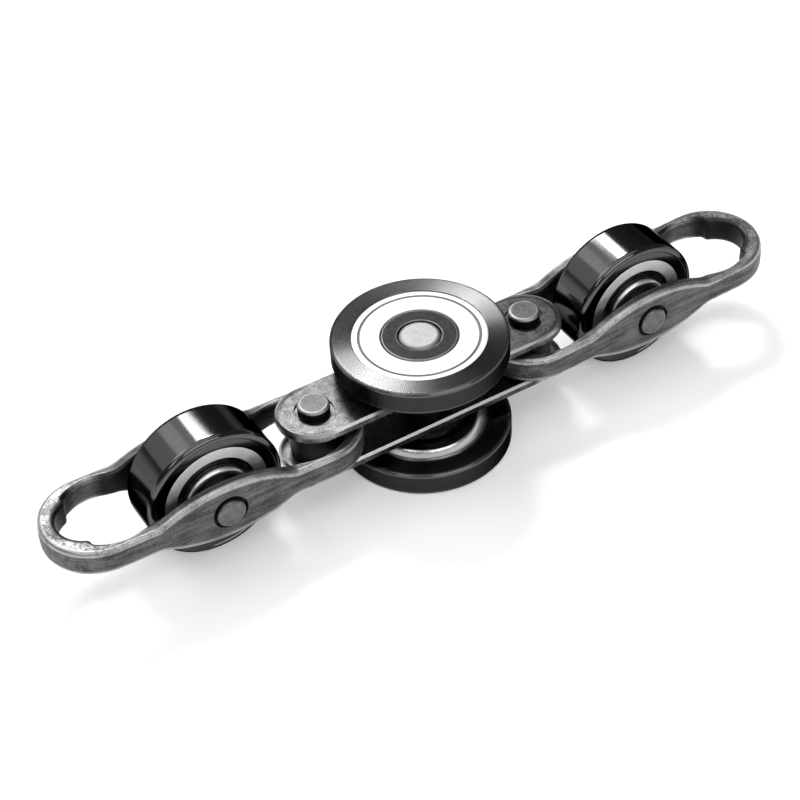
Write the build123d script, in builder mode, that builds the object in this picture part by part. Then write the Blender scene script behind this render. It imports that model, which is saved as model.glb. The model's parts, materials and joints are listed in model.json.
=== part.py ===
from build123d import *
from math import asin, cos, degrees, pi, radians, sin
import os

# Three links of a conveyor chain for an enclosed track, lying on the flat of one load wheel.
# The chain bends in two planes: each forged guide link swings on its pin and rocks on its barrel.
# X runs along the chain, Y across it, Z up along the load axle, and Z = 0 is the floor.
# The origin is under the chain's middle. All sizes are in millimetres.

# Chain
pitch = 76.2                      # load wheel centre to guide wheel centre
pin_offset = pitch / 2            # a connecting pin stands halfway
barrel_play = 0.05                # barrel on its pin, radially
turning_gap = 0.3                 # between a turning piece and what stands still beside it
seat_gap = 0.3                    # barrel to the loop's end wall, and to the plates

# Side plates of the load link
plate_inner = 6.0                 # chain's mid-plane to a plate's inner face
plate_thickness = 3.2
plate_half_width = 12.0
plate_edge = 0.7

# Load axle and what it clamps
load_axle_r = 5.0
load_axle_head_r = 6.6
load_axle_head_height = 2.0
load_axle_head_bevel = 1.2
load_axle_head_recess = 0.15      # head below the wheel's face
centre_spacer_r = 8.0
boss_washer_r = 13.0
boss_washer_thickness = 1.8

# Load wheels
load_wheel_width = 8.0
load_wheel_gap = 3.6              # plate's outer face to the wheel's inner face
load_wheel_edge = 0.8
load_rim_width = 6.63             # tread's face beside a shield
load_tread_wall = 11.63           # running surface to race
load_roller_r = 3.4
load_groove_inset = 2.3           # shield's edge to its fine groove
load_groove_depth = 0.4
load_crown_inset = 1.1            # shield's edge to the raised middle of the inner shield
load_crown_height = 0.8           # its height above the wheel's inner face
load_crown_bevel = 0.8
load_hub_wall = 4.0               # axle to the hub's race
load_hub_shoulder = 3.0           # hub's race to its rim
load_hub_recess = 0.3             # hub below the wheel's face
load_hub_bevel = 0.5

# Connecting pins and their barrels
pin_r = 5.0
pin_stand = 3.0                   # pin's end above the plate
pin_edge = 0.7
pin_ring_r = 6.2                  # shallow ring sunk round the pin in the plate
pin_ring_depth = 0.7
barrel_crown_r = 45.0             # bulge of the barrel's side, seen from the side

# Forged guide links
link_end = 52.4                   # guide wheel's centre to the outside of the loop
loop_wall = 5.4                   # end wall of the loop
seat_wrap = 71.0                  # the loop's round seat holds the barrel by this angle to each side
seat_corner = 1.6
bay_step = 2.0                    # the window's step outwards beside a seat
bay_corner = 1.0
bay_depth = 1.6                   # round bay in both cheeks, beside the wheel
bay_blend = 3.0
bar_half_height = 4.4
cheek_wall = 4.7
cheek_half_height = 10.0
cheek_reach = 22.0                # where the cheek's arch meets the bar
cheek_blend = 9.0
forging_draft = 3.0
forging_edge = 1.1
pad_r = 8.2                       # flat machined inside each cheek for a spacer
pad_height = 0.5
rivet_ring_r = 5.6                # shallow ring sunk round the rivet in the cheek
rivet_ring_depth = 0.9

# Guide wheels
guide_wheel_half_width = 8.1
guide_wheel_edge = 1.3
guide_rim_width = 5.22            # tread's face beside a shield
guide_tread_wall = 7.32           # running surface to race
guide_roller_r = 3.4
guide_shield_width = 3.9
guide_hub_wall = 3.9              # axle to the hub's race
guide_hub_shoulder = 2.6          # hub's race to its rim
guide_hub_stand = 1.5             # hub's end beyond the wheel's face
guide_hub_bevel = 0.9
guide_axle_r = 3.9
guide_rivet_r = 4.7
guide_rivet_height = 1.4
guide_rivet_bevel = 2.2
guide_spacer_r = 7.6
guide_spacer_length = 2.2

# All bearings
running_gap = 0.1                 # roller to race, radially
row_gap = 0.15                    # least room between neighbouring rollers
shield_thickness = 0.8
shield_recess = 0.3               # shield below the wheel's face

# Picking corners and edges by their place
pick_margin = 1.0

# Sizes that follow from those above
plate_outer = plate_inner + plate_thickness
boss_face = plate_outer + boss_washer_thickness
load_wheel_inner = plate_outer + load_wheel_gap
load_wheel_outer = load_wheel_inner + load_wheel_width
load_race_inner = load_axle_r + load_hub_wall
load_hub_r = load_race_inner + load_hub_shoulder
load_race_outer = load_race_inner + 2 * (load_roller_r + running_gap)
load_wheel_r = load_race_outer + load_tread_wall
load_shield_bore = load_hub_r + turning_gap
load_shield_r = load_wheel_r - load_rim_width
load_groove_r = load_shield_r - load_groove_inset
load_crown_r = load_shield_r - load_crown_inset
guide_race_inner = guide_axle_r + guide_hub_wall
guide_hub_r = guide_race_inner + guide_hub_shoulder
guide_race_outer = guide_race_inner + 2 * (guide_roller_r + running_gap)
guide_wheel_r = guide_race_outer + guide_tread_wall
guide_shield_r = guide_wheel_r - guide_rim_width
guide_shield_bore = guide_shield_r - guide_shield_width
shield_seat = shield_recess + shield_thickness
load_head_top = load_wheel_outer - load_axle_head_recess
load_head_seat = load_head_top - load_axle_head_height
guide_race_end = guide_wheel_half_width - shield_seat
guide_hub_end = guide_wheel_half_width + guide_hub_stand
pad_face = guide_hub_end + guide_spacer_length
loop_half_width = pad_face + pad_height
link_half_width = loop_half_width + cheek_wall
loop_end = link_end - loop_wall
seat_r = loop_end - pin_offset
seat_reach = pin_offset + seat_r * cos(radians(seat_wrap))
seat_half_width = seat_r * sin(radians(seat_wrap))
bay_r = loop_half_width + bay_depth
bay_centre = seat_reach - (bay_r**2 - (seat_half_width + bay_step) ** 2) ** 0.5
barrel_half_height = plate_inner - seat_gap
barrel_r = seat_r - seat_gap

# The lower load wheel's face and both guide wheels touch the floor, so the guide links lean a little
chain_centre = Vector(0, 0, load_wheel_outer)
lean = asin((guide_wheel_r - load_wheel_outer) / pin_offset)


def load_frame(way):
    """The chain's centre, looking along the load axle up (1) or down (-1)."""
    return Plane(origin=chain_centre, x_dir=(1, 0, 0), z_dir=(0, 0, way))


def pin_frame(side):
    """The middle of the right (1) or left (-1) connecting pin."""
    return Plane(origin=chain_centre + Vector(side * pin_offset, 0, 0), x_dir=(side, 0, 0), z_dir=(0, 0, 1))


def link_frame(side):
    """The right (1) or left (-1) guide wheel's centre, with x outwards along its leaning link."""
    along = Vector(side * cos(lean), 0, sin(lean))
    upright = Vector(-side * sin(lean), 0, cos(lean))
    return Plane(origin=pin_frame(side).origin + along * pin_offset, x_dir=along, z_dir=upright)


def guide_frame(side, way=1):
    """The same centre, looking along the guide axle to the back (1) or the front (-1)."""
    link = link_frame(side)
    return Plane(origin=link.origin, x_dir=link.x_dir, z_dir=(0, way, 0))


def section(frame):
    """The plane that holds a turned piece's section: radius across, height along the frame's z."""
    return Plane(origin=frame.origin, x_dir=frame.x_dir, z_dir=-frame.y_dir)


def spindle(frame):
    return Axis(frame.origin, frame.z_dir)


def save(piece, name):
    piece.part.label = name
    export_step(piece.part, f"parts/{name}.step")


# Pieces that both kinds of link use
def make_ring(frame, inner_r, outer_r, low, high):
    """Plain ring between two heights."""
    with BuildPart() as ring:
        with BuildSketch(frame.offset(low)):
            Circle(outer_r)
            Circle(inner_r, mode=Mode.SUBTRACT)
        extrude(amount=high - low)
    return ring


def make_tread(frame, radius, low, high, edge, shield_r, race_r):
    """Running surface and outer race in one, recessed on both faces for the shields."""
    with BuildPart() as tread:
        with BuildSketch(section(frame)) as profile:
            with BuildLine():
                Polyline(
                    (race_r, low + shield_seat),
                    (shield_r, low + shield_seat),
                    (shield_r, low),
                    (radius, low),
                    (radius, high),
                    (shield_r, high),
                    (shield_r, high - shield_seat),
                    (race_r, high - shield_seat),
                    close=True,
                )
            make_face()
            rims = profile.vertices().group_by(Axis.X)[-1]
            chamfer(rims, edge)
        revolve(axis=spindle(frame))
    return tread


def make_rollers(frame, low, high, race_inner, roller_r):
    """Full row of rollers between two races, each its own solid."""
    pitch_r = race_inner + running_gap + roller_r
    count = int(pi / asin((roller_r + row_gap / 2) / pitch_r))
    with BuildPart() as rollers:
        with BuildSketch(frame.offset(low)):
            with PolarLocations(pitch_r, count):
                Circle(roller_r)
        extrude(amount=high - low)
    return rollers


# Load link
def make_side_plate(way):
    outer_face = load_frame(way).offset(plate_outer)
    with BuildPart(outer_face) as plate:
        with BuildSketch(outer_face):
            SlotCenterToCenter(2 * pin_offset, 2 * plate_half_width)
        extrude(amount=-plate_thickness)
        chamfer(plate.edges().filter_by(Plane.XY), length=plate_edge)
        with Locations((-pin_offset, 0), (pin_offset, 0)):
            CounterBoreHole(pin_r, pin_ring_r, pin_ring_depth)
        Hole(load_axle_r)
    return plate


def make_load_axle():
    """Rivet through both plates and both hubs, its bevelled heads sunk in the hubs."""
    frame = load_frame(1)
    with BuildPart() as axle:
        with BuildSketch(section(frame)):
            with BuildLine():
                Polyline(
                    (0, load_head_top),
                    (load_axle_head_r - load_axle_head_bevel, load_head_top),
                    (load_axle_head_r, load_head_top - load_axle_head_bevel / 2),
                    (load_axle_head_r, load_head_seat),
                    (load_axle_r, load_head_seat),
                    (load_axle_r, -load_head_seat),
                    (load_axle_head_r, -load_head_seat),
                    (load_axle_head_r, -load_head_top + load_axle_head_bevel / 2),
                    (load_axle_head_r - load_axle_head_bevel, -load_head_top),
                    (0, -load_head_top),
                    close=True,
                )
            make_face()
        revolve(axis=spindle(frame))
    return axle


def make_load_hub(way):
    """Inner race of a load wheel, a spool clamped between the boss washer and the axle's head."""
    frame = load_frame(way)
    face = load_wheel_outer - load_hub_recess
    race_low = load_wheel_inner + shield_seat
    race_high = load_wheel_outer - shield_seat
    head_hole_r = load_axle_head_r + turning_gap
    with BuildPart() as hub:
        with BuildSketch(section(frame)):
            with BuildLine():
                Polyline(
                    (load_axle_r, boss_face),
                    (load_hub_r, boss_face),
                    (load_hub_r, race_low),
                    (load_race_inner, race_low),
                    (load_race_inner, race_high),
                    (load_hub_r, race_high),
                    (load_hub_r, face - load_hub_bevel),
                    (load_hub_r - load_hub_bevel, face),
                    (head_hole_r, face),
                    (head_hole_r, load_head_seat),
                    (load_axle_r, load_head_seat),
                    close=True,
                )
            make_face()
        revolve(axis=spindle(frame))
    return hub


def make_load_outer_shield(way):
    """Pressed ring on the wheel's outer face, with one fine groove."""
    frame = load_frame(way)
    top = load_wheel_outer - shield_recess
    bottom = top - shield_thickness
    with BuildPart() as shield:
        with BuildSketch(section(frame)):
            with BuildLine():
                Polyline(
                    (load_shield_bore, bottom),
                    (load_shield_r, bottom),
                    (load_shield_r, top),
                    (load_groove_r + load_groove_depth, top),
                    (load_groove_r, top - load_groove_depth),
                    (load_groove_r - load_groove_depth, top),
                    (load_shield_bore, top),
                    close=True,
                )
            make_face()
        revolve(axis=spindle(frame))
    return shield


def make_load_inner_shield(way):
    """Pressed ring on the plate's side of the wheel, raised inside a bevelled rim."""
    frame = load_frame(way)
    rim = load_wheel_inner + shield_recess
    seat = load_wheel_inner + shield_seat
    crown = load_wheel_inner - load_crown_height
    with BuildPart() as shield:
        with BuildSketch(section(frame)):
            with BuildLine():
                Polyline(
                    (load_crown_r, rim),
                    (load_shield_r, rim),
                    (load_shield_r, seat),
                    (load_shield_bore, seat),
                    (load_shield_bore, crown),
                    (load_crown_r - load_crown_bevel, crown),
                    (load_crown_r, crown + load_crown_bevel),
                    close=True,
                )
            make_face()
        revolve(axis=spindle(frame))
    return shield


# Connecting pins
def make_connecting_pin(side):
    frame = pin_frame(side)
    end = plate_outer + pin_stand
    with BuildPart() as pin:
        with BuildSketch(frame.offset(-end)):
            Circle(pin_r)
        extrude(amount=2 * end)
        chamfer(pin.edges().filter_by(GeomType.CIRCLE), length=pin_edge)
    return pin


def make_barrel(side):
    """Bush that turns on the pin. Its bulged side lets the forged loop rock up and down."""
    frame = pin_frame(side)
    bore_r = pin_r + barrel_play
    end_r = barrel_r - barrel_crown_r + (barrel_crown_r**2 - barrel_half_height**2) ** 0.5
    with BuildPart() as barrel:
        with BuildSketch(section(frame)):
            with BuildLine():
                Polyline(
                    (end_r, -barrel_half_height),
                    (bore_r, -barrel_half_height),
                    (bore_r, barrel_half_height),
                    (end_r, barrel_half_height),
                )
                ThreePointArc((end_r, barrel_half_height), (barrel_r, 0), (end_r, -barrel_half_height))
            make_face()
        revolve(axis=spindle(frame))
    return barrel


# Guide links
def make_window():
    """The loop's window in plan: two barrel seats at its ends, each stepping out to a round bay in the cheeks."""
    step_middle = seat_half_width + bay_step / 2
    with BuildSketch() as window:
        with Locations((-bay_centre, 0), (bay_centre, 0)):
            Circle(bay_r)
        Rectangle(2 * seat_reach, 2 * bay_r, mode=Mode.INTERSECT)
        Rectangle(2 * bay_centre, 2 * loop_half_width)
        with Locations((-pin_offset, 0), (pin_offset, 0)):
            Circle(seat_r)
        flanks = [v for v in window.vertices() if abs(v.X) < bay_centre]
        fillet(flanks, bay_blend)
        bay_ends = [v for v in window.vertices() if abs(v.X) > bay_centre and abs(v.Y) > step_middle]
        fillet(bay_ends, bay_corner)
        end_walls = loop_end - pick_margin
        seat_ends = [v for v in window.vertices() if abs(v.X) < end_walls and abs(v.Y) < step_middle]
        fillet(seat_ends, seat_corner)
    return window.sketch


def make_forged_link(side):
    """Closed drop-forged loop: a low bar round both pins, swelling to a lens-shaped cheek at the axle."""
    frame = link_frame(side)
    cheeks = [guide_frame(side, way) for way in (1, -1)]
    with BuildPart() as link:
        # Plan, its walls drafted up and down from the parting plane
        with BuildSketch(frame):
            SlotOverall(2 * link_end, 2 * link_half_width)
            add(make_window(), mode=Mode.SUBTRACT)
        extrude(amount=cheek_half_height, both=True, taper=forging_draft)
        # Side view, cut out of the plan's walls
        with BuildSketch(section(frame)) as outline:
            Rectangle(2 * link_end, 2 * bar_half_height)
            with BuildLine():
                for up in (1, -1):
                    ThreePointArc(
                        (-cheek_reach, up * bar_half_height),
                        (0, up * cheek_half_height),
                        (cheek_reach, up * bar_half_height),
                    )
                for end in (1, -1):
                    Line((end * cheek_reach, bar_half_height), (end * cheek_reach, -bar_half_height))
            make_face()
            roots = [v for v in outline.vertices() if abs(v.X) < link_end - pick_margin]
            fillet(roots, cheek_blend)
        extrude(amount=link_half_width, both=True, mode=Mode.INTERSECT)
        rim_height = bar_half_height - pick_margin
        rims = [e for e in link.edges() if abs(frame.to_local_coords(e.center()).Z) > rim_height]
        chamfer(rims, forging_edge)
        # Machined flats for the spacers, then the rivet's holes with their sunk rings
        for cheek in cheeks:
            with BuildSketch(cheek.offset(pad_face)):
                Circle(pad_r)
            extrude(amount=cheek_wall / 2)
        with Locations(*[cheek.offset(link_half_width) for cheek in cheeks]):
            CounterBoreHole(guide_axle_r, rivet_ring_r, rivet_ring_depth, depth=2 * cheek_wall)
    return link


def make_guide_axle(side):
    """Rivet through both cheeks, its raised heads seated in the sunk rings."""
    frame = guide_frame(side)
    seat = link_half_width - rivet_ring_depth
    rim = link_half_width
    crown = link_half_width + guide_rivet_height
    with BuildPart() as axle:
        with BuildSketch(section(frame)):
            with BuildLine():
                Polyline(
                    (0, crown),
                    (guide_rivet_r - guide_rivet_bevel, crown),
                    (guide_rivet_r, rim),
                    (guide_rivet_r, seat),
                    (guide_axle_r, seat),
                    (guide_axle_r, -seat),
                    (guide_rivet_r, -seat),
                    (guide_rivet_r, -rim),
                    (guide_rivet_r - guide_rivet_bevel, -crown),
                    (0, -crown),
                    close=True,
                )
            make_face()
        revolve(axis=spindle(frame))
    return axle


def make_guide_hub(side):
    """Inner race of a guide wheel, a spool clamped between the spacers, its bevelled ends proud of the wheel."""
    frame = guide_frame(side)
    from_axle = (Align.MIN, Align.CENTER)
    with BuildPart() as hub:
        with BuildSketch(section(frame)) as profile:
            with Locations((guide_axle_r, 0)):
                Rectangle(guide_hub_r - guide_axle_r, 2 * guide_hub_end, align=from_axle)
            chamfer(profile.vertices().group_by(Axis.X)[-1], guide_hub_bevel)
            with Locations((guide_race_inner, 0)):
                Rectangle(guide_hub_r, 2 * guide_race_end, align=from_axle, mode=Mode.SUBTRACT)
        revolve(axis=spindle(frame))
    return hub


os.makedirs("parts", exist_ok=True)

# Load link: plates, axle, clamped pieces and pins
up_frame = load_frame(1)
save(make_load_axle(), "load_axle")
save(make_ring(up_frame, load_axle_r, centre_spacer_r, -plate_inner, plate_inner), "centre_spacer")
for name, way in (("upper", 1), ("lower", -1)):
    frame = load_frame(way)
    save(make_side_plate(way), f"{name}_side_plate")
    save(make_ring(frame, load_axle_r, boss_washer_r, plate_outer, boss_face), f"{name}_boss_washer")
    save(make_load_hub(way), f"{name}_load_hub")
    tread = make_tread(
        frame,
        load_wheel_r,
        load_wheel_inner,
        load_wheel_outer,
        load_wheel_edge,
        load_shield_r,
        load_race_outer,
    )
    save(tread, f"{name}_load_tread")
    save(make_load_outer_shield(way), f"{name}_load_outer_shield")
    save(make_load_inner_shield(way), f"{name}_load_inner_shield")
    low = load_wheel_inner + shield_seat + turning_gap
    high = load_wheel_outer - shield_seat - turning_gap
    rollers = make_rollers(frame, low, high, load_race_inner, load_roller_r)
    save(rollers, f"{name}_load_rollers")

# Pins, barrels, guide links and guide wheels
for name, side in (("left", -1), ("right", 1)):
    frame = guide_frame(side)
    save(make_connecting_pin(side), f"{name}_connecting_pin")
    save(make_barrel(side), f"{name}_barrel")
    save(make_forged_link(side), f"{name}_forged_link")
    save(make_guide_axle(side), f"{name}_guide_axle")
    save(make_guide_hub(side), f"{name}_guide_hub")
    tread = make_tread(
        frame,
        guide_wheel_r,
        -guide_wheel_half_width,
        guide_wheel_half_width,
        guide_wheel_edge,
        guide_shield_r,
        guide_race_outer,
    )
    save(tread, f"{name}_guide_tread")
    high = guide_race_end - turning_gap
    rollers = make_rollers(frame, -high, high, guide_race_inner, guide_roller_r)
    save(rollers, f"{name}_guide_rollers")
    for place, way in (("front", -1), ("back", 1)):
        face = guide_frame(side, way)
        shield_top = guide_wheel_half_width - shield_recess
        shield = make_ring(face, guide_shield_bore, guide_shield_r, guide_race_end, shield_top)
        save(shield, f"{name}_guide_{place}_shield")
        spacer = make_ring(face, guide_axle_r, guide_spacer_r, guide_hub_end, pad_face)
        save(spacer, f"{name}_guide_{place}_spacer")

print(f"guide links lean {degrees(lean):.2f} degrees")
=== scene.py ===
import json
import logging
from dataclasses import dataclass
from enum import Enum

import bmesh
import bpy
import numpy as np
from mathutils import Matrix, Vector


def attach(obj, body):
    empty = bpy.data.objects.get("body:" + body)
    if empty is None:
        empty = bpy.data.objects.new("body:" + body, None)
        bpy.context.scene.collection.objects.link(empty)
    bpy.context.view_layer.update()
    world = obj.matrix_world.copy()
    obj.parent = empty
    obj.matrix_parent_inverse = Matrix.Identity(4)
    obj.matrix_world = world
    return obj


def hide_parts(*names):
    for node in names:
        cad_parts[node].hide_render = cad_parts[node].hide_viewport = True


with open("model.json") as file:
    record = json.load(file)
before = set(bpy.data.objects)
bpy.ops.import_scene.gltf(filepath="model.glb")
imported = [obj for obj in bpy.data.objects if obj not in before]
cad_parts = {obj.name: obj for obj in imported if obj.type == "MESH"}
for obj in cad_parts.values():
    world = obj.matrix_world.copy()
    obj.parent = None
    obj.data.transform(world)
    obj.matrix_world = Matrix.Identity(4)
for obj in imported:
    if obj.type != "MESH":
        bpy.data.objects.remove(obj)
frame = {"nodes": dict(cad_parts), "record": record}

# Dresses a section of conveyor chain: a load link between two flat load wheels, and two forged guide links.
# All sizes are in millimetres until a piece is put into the scene, which is in metres.

# CENTRE_HEIGHT is the load link's middle over the floor, PIN_OFFSET a pin's distance from it and from its guide wheel.
# BREAK is the least rounding of a turned edge, HAIR half the width, in metres, of a sharp change in a finish.

MM = 0.001
CENTRE_HEIGHT = 20.8
PIN_OFFSET = 38.1
BREAK = 0.05
HAIR = 0.0001
LOG = logging.getLogger("chain")

Array = np.ndarray
Grey = tuple[float, float, float]


class Way(Enum):
    """A place in the chain: its name and the way that it points or looks."""

    def __init__(self, label: str, way: float) -> None:
        """Keeps the name and the way."""
        self.label, self.way = label, way


class Side(Way):
    """The two guide links: their name and the way that they point along X."""

    LEFT = ("left", -1.0)
    RIGHT = ("right", 1.0)


class Level(Way):
    """The two load wheels: their name and the way that their outer face looks along Z."""

    UPPER = ("upper", 1.0)
    LOWER = ("lower", -1.0)


class Reads(Enum):
    """Where a finish takes its pattern's coordinates from."""

    OWN = "own"
    OBJECT = "object"


# Shapes


@dataclass(frozen=True)
class Place:
    """A right-handed frame in which a piece is worked out: its origin, its x and its z."""

    origin: tuple[float, float, float]
    x: tuple[float, float, float]
    z: tuple[float, float, float]

    def axes(self) -> Array:
        """Returns the frame's three directions, one in each row."""
        x, z = np.array(self.x), np.array(self.z)
        return np.stack([x, np.cross(z, x), z])

    def scene_points(self, local: Array) -> Array:
        """Returns local points in millimetres as scene points in metres."""
        return (np.array(self.origin) + local @ self.axes()) * MM

    def local_points(self, points: Array) -> Array:
        """Returns scene points in metres as local points in millimetres."""
        return (points / MM - np.array(self.origin)) @ self.axes().T


def upright(x: float, way: float = 1.0) -> Place:
    """Returns the load link's middle at some x, looking up (1) or down (-1)."""
    return Place((x, 0.0, CENTRE_HEIGHT), (1.0, 0.0, 0.0), (0.0, 0.0, way))


@dataclass(frozen=True)
class Profile:
    """A turned section: radius and height of each point, and how far the point lies on a rounded edge."""

    points: Array
    wear_and_highlight: Array
    closed: bool


def rounded_profile(corners: list[tuple[float, float, float]], closed: bool = True, steps: int = 4) -> Profile:
    """Rounds each corner of a section.

    A corner's arc starts a tangent's length before it, radius times the tangent of half the turn.
    From there it runs along the incoming edge by the sine of the angle, and towards the outgoing
    one by one minus the cosine. A guard point stands before and after each arc, which keeps the flat parts flat.

    Args:
        corners: Radius, height and rounding of each corner, in order.
        closed: Whether the section is a ring. If not, its first and last corners lie on the axis.
        steps: Straight pieces in each arc.

    Returns:
        The section's points, with a weight of 1 on the arcs and 0 on the guards, which finishes use for wear and
        painted edge highlights.
    """
    table = np.array(corners)
    point, radius = table[:, :2], table[:, 2]
    come = point - np.roll(point, 1, 0)
    go = np.roll(point, -1, 0) - point
    come_length = np.linalg.norm(come, axis=1)
    go_length = np.linalg.norm(go, axis=1)
    come = come / come_length[:, None]
    go = go / go_length[:, None]
    along = np.clip(np.sum(come * go, axis=1), -1, 1)
    turn = np.arccos(along)
    reach = radius * np.tan(turn / 2)
    toward = go - along[:, None] * come
    toward = toward / np.maximum(np.linalg.norm(toward, axis=1), 1e-9)[:, None]
    angle = turn[:, None] * np.linspace(0, 1, steps + 1)
    start = point - come * reach[:, None]
    arc = (
        start[:, None]
        + radius[:, None, None] * np.sin(angle)[..., None] * come[:, None]
        + radius[:, None, None] * (1 - np.cos(angle))[..., None] * toward[:, None]
    )
    free_before = come_length - reach - np.roll(reach, 1)
    free_after = go_length - reach - np.roll(reach, -1)
    before = arc[:, 0] - come * np.minimum(0.3, 0.3 * free_before)[:, None]
    after = arc[:, -1] + go * np.minimum(0.3, 0.3 * free_after)[:, None]
    points = np.concatenate([before[:, None], arc, after[:, None]], axis=1)
    wear_and_highlight = np.ones(points.shape[:2])
    wear_and_highlight[:, [0, -1]] = 0
    if closed:
        return Profile(points.reshape(-1, 2), wear_and_highlight.reshape(-1), True)
    inner = points[1:-1].reshape(-1, 2)
    ends = np.zeros(1)
    return Profile(
        np.concatenate([point[:1], inner, point[-1:]]),
        np.concatenate([ends, wear_and_highlight[1:-1].reshape(-1), ends]),
        False,
    )


def joined(first: Array, second: Array, soft: float) -> Array:
    """Returns the lower of two values, with a smooth change between them where they differ by less than soft."""
    near = np.clip(0.5 + 0.5 * (second - first) / soft, 0, 1)
    return second * (1 - near) + first * near - soft * near * (1 - near)


def surface(
    name: str, place: Place, grid: Array, wear_and_highlight: Array, closed: bool, shade: Array | None = None
) -> bpy.types.Object:
    """Makes a mesh of a grid of points that closes on itself in its first direction.

    Args:
        name: The piece's name.
        place: The frame that the grid is in.
        grid: Local points, rows by columns by three.
        wear_and_highlight: One number from 0 to 1 for each point, kept as the attribute "wear_and_highlight", which
            finishes use for wear and painted edge highlights.
        closed: Whether it closes in its second direction too. If not, its first and last columns are poles.
        shade: One number from 0 to 1 for each point, kept as the attribute "shade", that marks where the finish paints
            shade on the inner walls.

    Returns:
        The piece, its local coordinates in metres kept as the attribute "own".
    """
    rows, columns = grid.shape[:2]
    index = np.arange(rows * columns).reshape(rows, columns)
    across = np.roll(index, -1, 0)
    quads = np.stack([index, across, np.roll(across, -1, 1), np.roll(index, -1, 1)], axis=-1)
    if not closed:
        quads = quads[:, :-1]
    mesh = bpy.data.meshes.new(name)
    mesh.from_pydata(place.scene_points(grid).reshape(-1, 3).tolist(), [], quads.reshape(-1, 4).tolist())
    for label, numbers in (("wear_and_highlight", wear_and_highlight), ("shade", wear_and_highlight * 0 if shade is None else shade)):
        attribute = mesh.attributes.new(label, "FLOAT", "POINT")
        attribute.data.foreach_set("value", numbers.astype(np.float32).ravel())
    own = mesh.attributes.new("own", "FLOAT_VECTOR", "POINT")
    own.data.foreach_set("vector", (grid * MM).astype(np.float32).ravel())
    shell = bmesh.new()
    shell.from_mesh(mesh)
    bmesh.ops.remove_doubles(shell, verts=shell.verts, dist=1e-7)
    bmesh.ops.recalc_face_normals(shell, faces=shell.faces)
    shell.to_mesh(mesh)
    shell.free()
    mesh.shade_smooth()
    piece = bpy.data.objects.new(name, mesh)
    bpy.context.scene.collection.objects.link(piece)
    return piece


def turned(name: str, place: Place, profile: Profile, turns: int = 128) -> bpy.types.Object:
    """Turns a section about its frame's z.

    Each point goes round a circle: its radius times the cosine and the sine of the angle, at its own height.
    """
    angle = np.linspace(0, 2 * np.pi, turns, endpoint=False)[:, None]
    radius, height = profile.points[:, 0], profile.points[:, 1]
    grid = np.stack([np.cos(angle) * radius, np.sin(angle) * radius, np.ones_like(angle) * height], axis=-1)
    wear_and_highlight = np.ones_like(angle) * profile.wear_and_highlight
    return surface(name, place, grid, wear_and_highlight, profile.closed)


# Shader maths


@dataclass(frozen=True)
class Value:
    """A number that varies over the surface: a socket on which Python's operators add Math nodes."""

    graph: "Graph"
    socket: bpy.types.NodeSocket

    def math(self, operation: str, first: "Value | float", second: "Value | float" = 0.0) -> "Value":
        """Adds one Math node and returns its result."""
        node = self.graph.node("ShaderNodeMath", {"operation": operation}, {0: first, 1: second})
        return Value(self.graph, node.outputs[0])

    def __add__(self, other: "Value | float") -> "Value":
        """Sum."""
        return self.math("ADD", self, other)

    def __radd__(self, other: float) -> "Value":
        """Sum, reflected."""
        return self.math("ADD", other, self)

    def __sub__(self, other: "Value | float") -> "Value":
        """Difference."""
        return self.math("SUBTRACT", self, other)

    def __rsub__(self, other: float) -> "Value":
        """Difference, reflected."""
        return self.math("SUBTRACT", other, self)

    def __mul__(self, other: "Value | float") -> "Value":
        """Product."""
        return self.math("MULTIPLY", self, other)

    def __rmul__(self, other: float) -> "Value":
        """Product, reflected."""
        return self.math("MULTIPLY", other, self)

    def __pow__(self, other: "Value | float") -> "Value":
        """Power."""
        return self.math("POWER", self, other)

    def __abs__(self) -> "Value":
        """Absolute value."""
        return self.math("ABSOLUTE", self)

    def step(self, low: float, high: float) -> "Value":
        """Returns 0 below low and 1 above high, with a smooth rise between them."""
        node = self.graph.node(
            "ShaderNodeMapRange",
            {"interpolation_type": "SMOOTHSTEP", "clamp": True},
            {"Value": self, "From Min": low, "From Max": high, "To Min": 0.0, "To Max": 1.0},
        )
        return Value(self.graph, node.outputs[0])

    def past(self, at: float) -> "Value":
        """Returns 0 below a length in millimetres and 1 above it, with a sharp change."""
        return self.step(at * MM - HAIR, at * MM + HAIR)

    def band(self, low: float, high: float, soft: float) -> "Value":
        """Returns 1 between low and high and 0 outside, over soft edges."""
        return self.step(low - soft, low + soft) * (1 - self.step(high - soft, high + soft))


def length(first: Value, second: Value) -> Value:
    """Returns the length of a flat vector: the root of its squares' sum."""
    return (first * first + second * second) ** 0.5


def dimmed(colour: Grey, share: float) -> Grey:
    """Returns a share of a colour."""
    return tuple(part * share for part in colour)


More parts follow.
